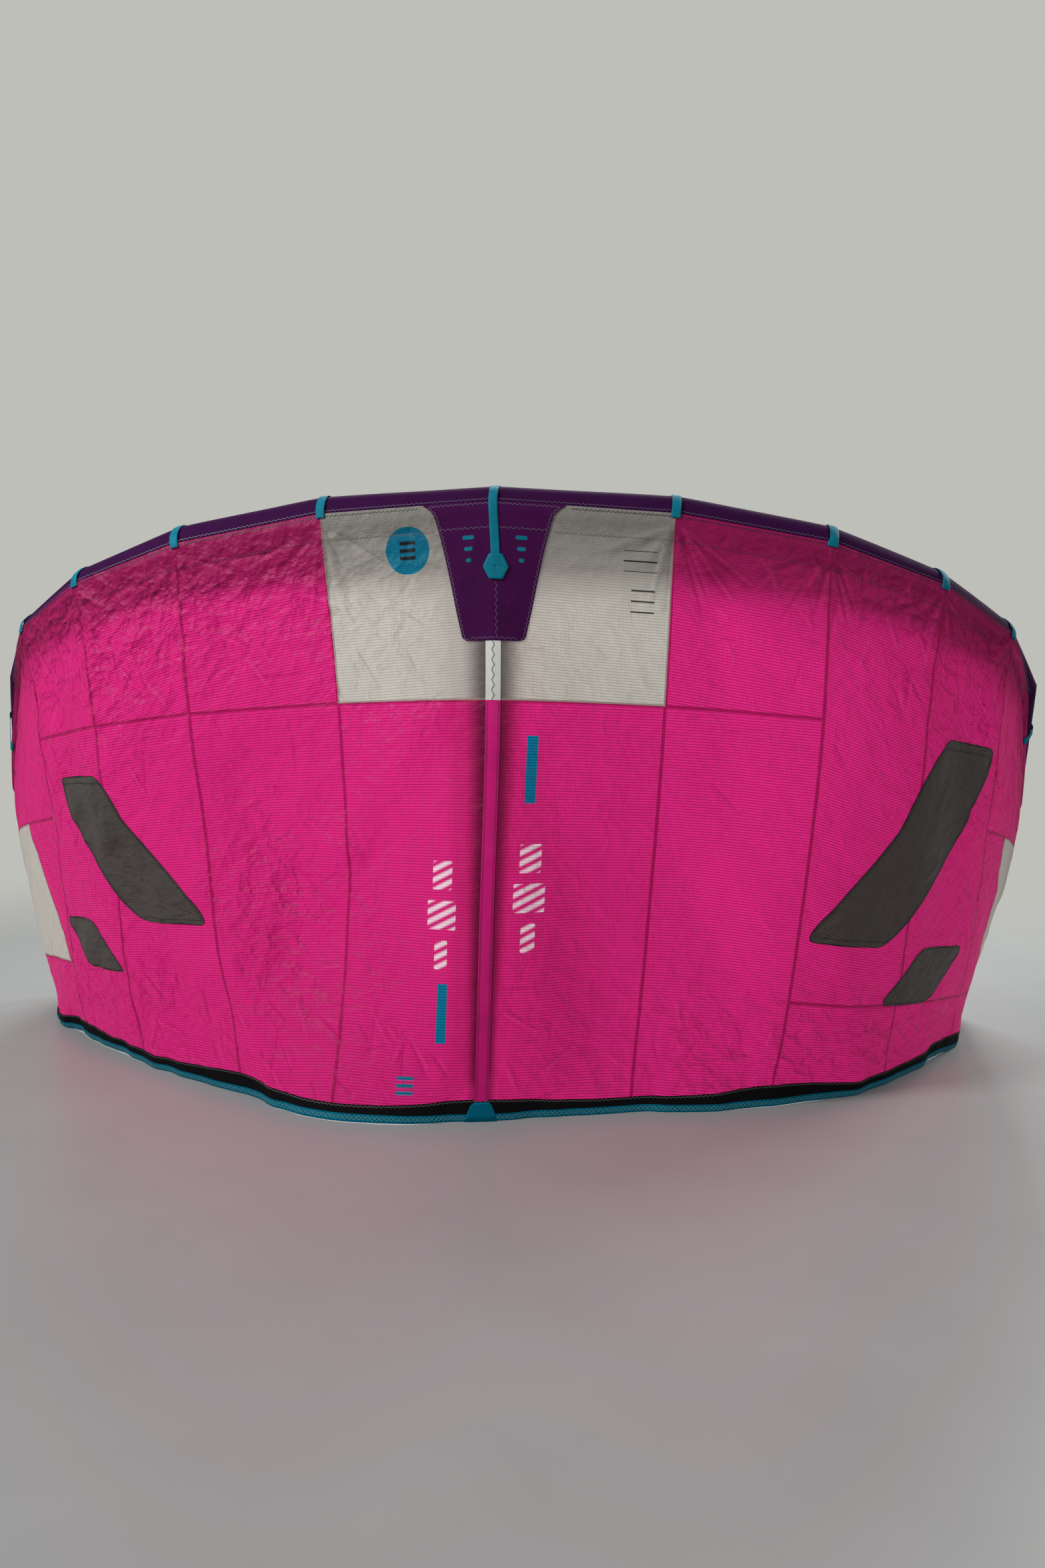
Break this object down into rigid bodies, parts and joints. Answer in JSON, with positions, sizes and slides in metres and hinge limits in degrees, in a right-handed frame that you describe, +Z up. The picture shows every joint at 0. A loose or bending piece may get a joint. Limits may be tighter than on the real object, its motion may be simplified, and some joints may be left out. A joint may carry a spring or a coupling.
{
  "type": "kitesurfing kite",
  "caption": "Inflatable kitesurfing kite standing on its trailing edge, with a tubular leading edge, a centre strut and a curved canopy of sewn panels.",
  "frame": {"origin": "middle of the bounding box, on the floor that the trailing edge stands on", "axes": "+X along the span, +Y the way the wing tips curl and the hollow side opens, +Z up"},
  "size_m": [3.1678, 1.2066, 1.6149],
  "materials": {
    "canopy_pink": "ripstop",
    "canopy_white": "ripstop",
    "tube_purple": "woven polyester",
    "patch_purple": "woven polyester",
    "webbing_teal": "webbing",
    "hem_teal": "tape",
    "band_black": "woven polyester",
    "tape_pink": "tape",
    "tape_white": "tape",
    "insert_grey": "ripstop",
    "strut_pink": "woven polyester"
  },
  "bodies": {
    "root": {"canopy_fourth_lower_left": "canopy_pink", "canopy_fourth_lower_right": "canopy_pink", "canopy_fourth_upper_left": "canopy_pink", "canopy_fourth_upper_right": "canopy_pink", "canopy_inner_lower_left": "canopy_pink", "canopy_inner_lower_right": "canopy_pink", "canopy_inner_upper_left": "canopy_white", "canopy_inner_upper_right": "canopy_white", "canopy_second_lower_left": "canopy_pink", "canopy_second_lower_right": "canopy_pink", "canopy_second_upper_left": "canopy_pink", "canopy_second_upper_right": "canopy_pink", "canopy_third_lower_left": "canopy_pink", "canopy_third_lower_right": "canopy_pink", "canopy_third_upper_left": "canopy_pink", "canopy_third_upper_right": "canopy_pink", "canopy_tip_lower_left": "canopy_pink", "canopy_tip_lower_right": "canopy_pink", "canopy_tip_upper_left": "canopy_pink", "canopy_tip_upper_right": "canopy_pink", "canopy_tip_wedge_left": "canopy_pink", "canopy_tip_wedge_right": "canopy_pink", "canopy_tip_white_left": "canopy_white", "canopy_tip_white_right": "canopy_white", "centre_hexagon": "webbing_teal", "centre_patch": "patch_purple", "centre_strut": "strut_pink", "grey_bar_1_left": "insert_grey", "grey_bar_1_right": "insert_grey", "grey_bar_2_left": "insert_grey", "grey_bar_2_right": "insert_grey", "hem_band": "band_black", "hem_binding": "hem_teal", "hem_patch": "hem_teal", "leading_edge_1_left": "tube_purple", "leading_edge_1_right": "tube_purple", "leading_edge_2_left": "tube_purple", "leading_edge_2_right": "tube_purple", "leading_edge_3_left": "tube_purple", "leading_edge_3_right": "tube_purple", "leading_edge_4_left": "tube_purple", "leading_edge_4_right": "tube_purple", "leading_edge_5_left": "tube_purple", "leading_edge_5_right": "tube_purple", "leading_edge_6_left": "tube_purple", "leading_edge_6_right": "tube_purple", "strap_1_left": "webbing_teal", "strap_1_right": "webbing_teal", "strap_2_left": "webbing_teal", "strap_2_right": "webbing_teal", "strap_3_left": "webbing_teal", "strap_3_right": "webbing_teal", "strap_4_left": "webbing_teal", "strap_4_right": "webbing_teal", "strap_5_left": "webbing_teal", "strap_5_right": "webbing_teal", "strap_centre": "webbing_teal", "strut_strip_pink": "tape_pink", "strut_strip_white": "tape_white"}
  },
  "joints": []
}
